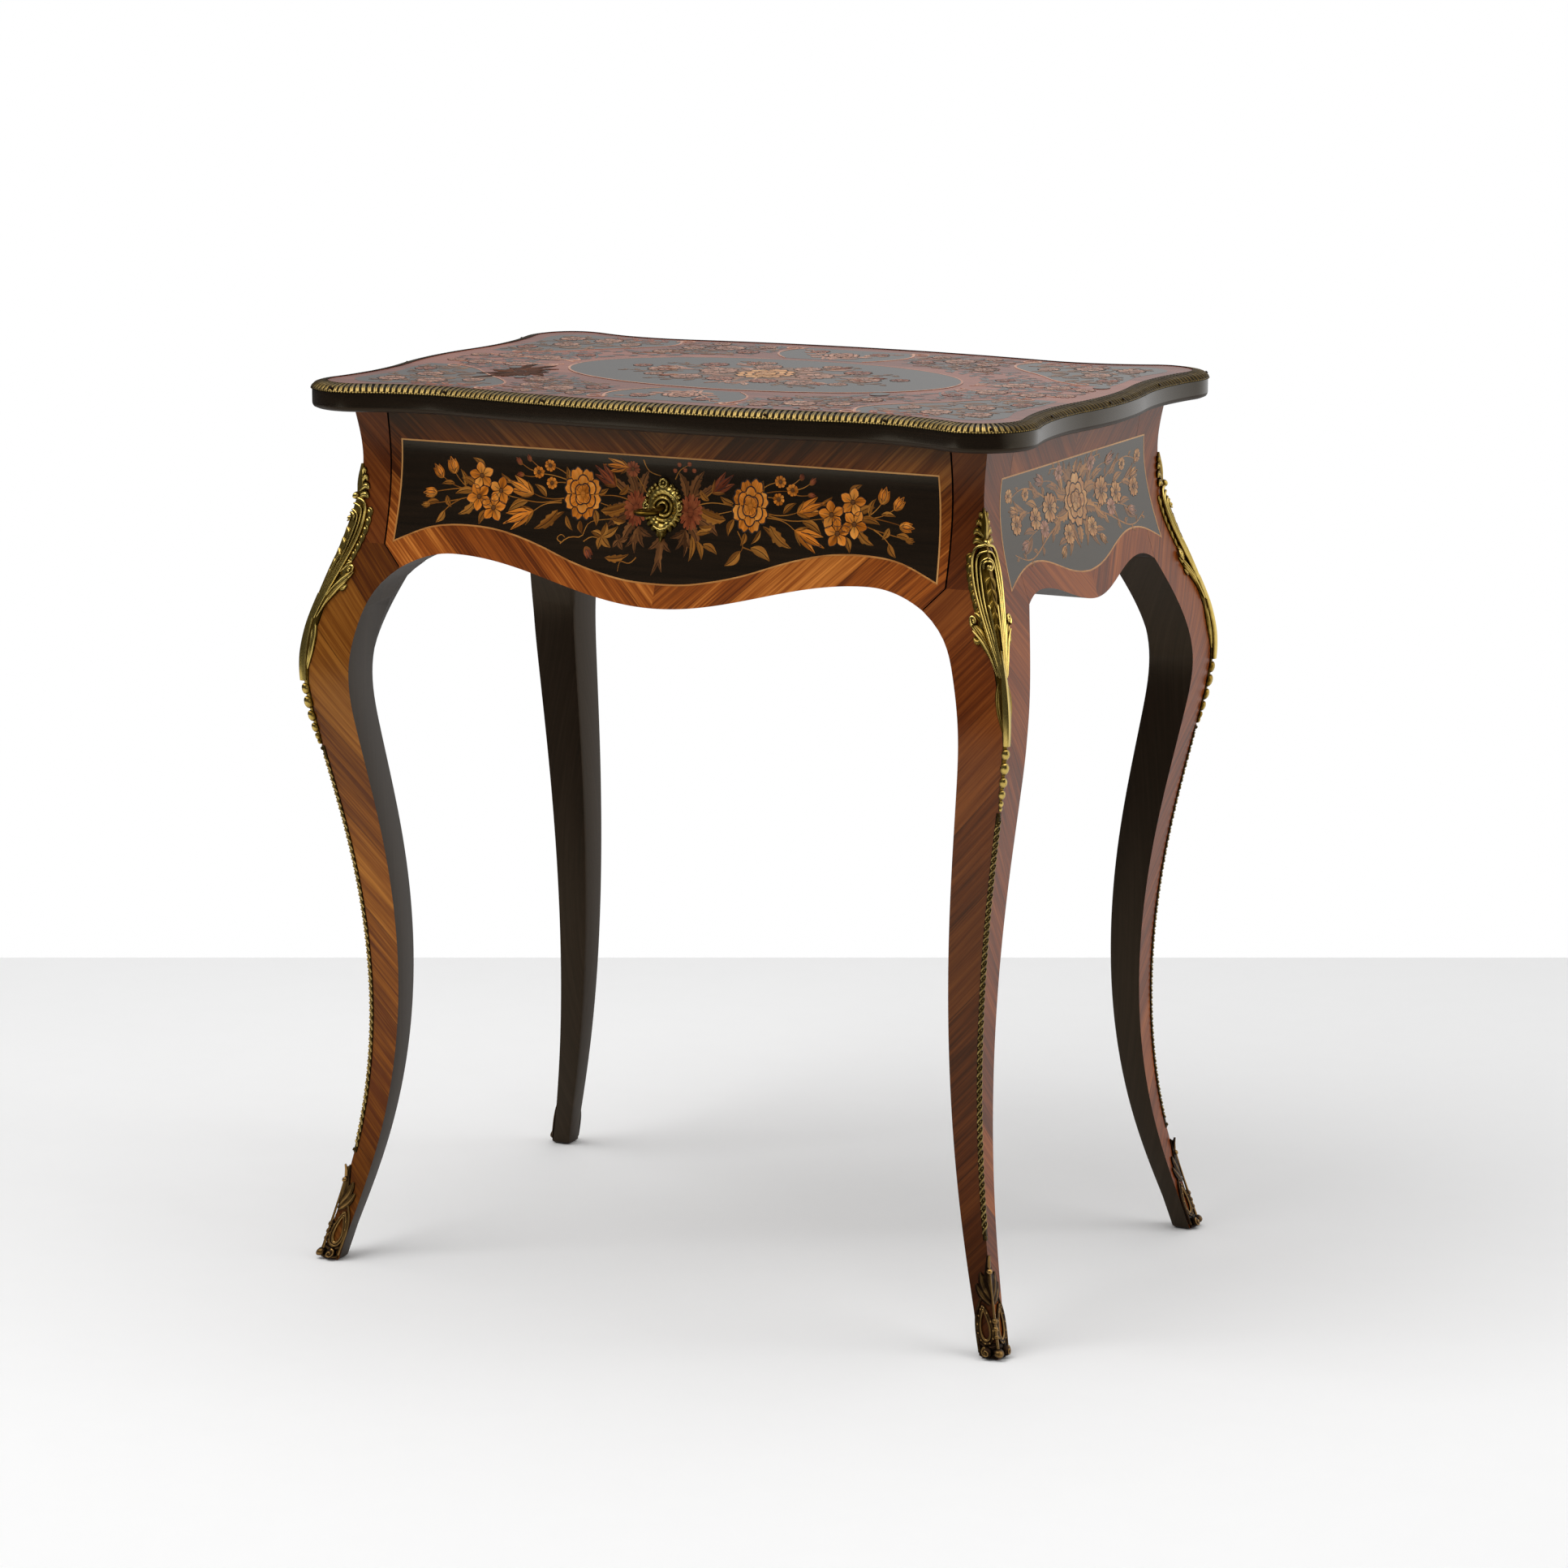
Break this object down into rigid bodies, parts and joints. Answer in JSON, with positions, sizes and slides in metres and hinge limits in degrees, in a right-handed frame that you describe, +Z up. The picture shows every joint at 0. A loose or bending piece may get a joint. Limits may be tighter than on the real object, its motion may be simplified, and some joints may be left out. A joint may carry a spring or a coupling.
{
  "type": "occasional table",
  "caption": "Serpentine occasional table on cabriole legs, with a marquetry top, a shaped frieze, a locking drawer and bronze mounts.",
  "frame": {"origin": "on the floor, under the middle of the top", "axes": "+Z up, +X to the right of someone facing the drawer, -Y the way the drawer opens"},
  "size_m": [0.6404, 0.4364, 0.74],
  "materials": {
    "kingwood_veneer": "diagonal crossbanded veneer, wax and shellac polish",
    "ebonised_pearwood": "black stain, polished",
    "floral_marquetry": "floral marquetry on a rosewood ground, polished",
    "drawer_oak": "planed, unpolished",
    "gilt_bronze": "cast, chased and gilt, worn",
    "aged_bronze": "cast, dark patina",
    "stamped_brass": "stamped, tarnished",
    "lock_steel": "forged and filed"
  },
  "bodies": {
    "frame": {"leg_front_left": "kingwood_veneer", "leg_front_right": "kingwood_veneer", "leg_back_left": "kingwood_veneer", "leg_back_right": "kingwood_veneer", "knee_mount_front_left": "gilt_bronze", "knee_mount_front_right": "gilt_bronze", "knee_mount_back_left": "gilt_bronze", "knee_mount_back_right": "gilt_bronze", "edge_strip_front_left": "stamped_brass", "edge_strip_front_right": "stamped_brass", "edge_strip_back_left": "stamped_brass", "edge_strip_back_right": "stamped_brass", "foot_mount_front_left": "aged_bronze", "foot_mount_front_right": "aged_bronze", "foot_mount_back_left": "aged_bronze", "foot_mount_back_right": "aged_bronze", "apron_left": "kingwood_veneer", "apron_right": "kingwood_veneer", "apron_back": "kingwood_veneer", "front_rail": "drawer_oak", "drawer_runner_left": "drawer_oak", "drawer_runner_right": "drawer_oak", "glue_block_front_left": "drawer_oak", "glue_block_front_right": "drawer_oak", "glue_block_back_left": "drawer_oak", "glue_block_back_right": "drawer_oak", "top_board": "ebonised_pearwood", "top_marquetry": "floral_marquetry", "top_edge_band": "stamped_brass"},
    "drawer": {"drawer_front": "kingwood_veneer", "drawer_side_left": "drawer_oak", "drawer_side_right": "drawer_oak", "drawer_back": "drawer_oak", "drawer_bottom": "drawer_oak", "lock_case": "lock_steel", "escutcheon": "gilt_bronze"},
    "key": {"key": "gilt_bronze"},
    "bolt": {"lock_bolt": "lock_steel"}
  },
  "joints": [
    {"name": "drawer_slide", "type": "slide", "parent": "frame", "child": "drawer", "axis": [0, -1, 0], "range_m": [0, 0.22]},
    {"name": "key_turn", "type": "hinge", "parent": "drawer", "child": "key", "pos_m": [0, -0.153, 0.653], "axis": [0, -1, 0], "range_deg": [0, 90]},
    {"name": "bolt_slide", "type": "slide", "parent": "drawer", "child": "bolt", "axis": [0, 0, 1], "range_m": [0, 0.008]}
  ],
  "couplings": [
    {"joint": "key_turn", "follows": "bolt_slide", "rad_per_m": 196.3}
  ]
}
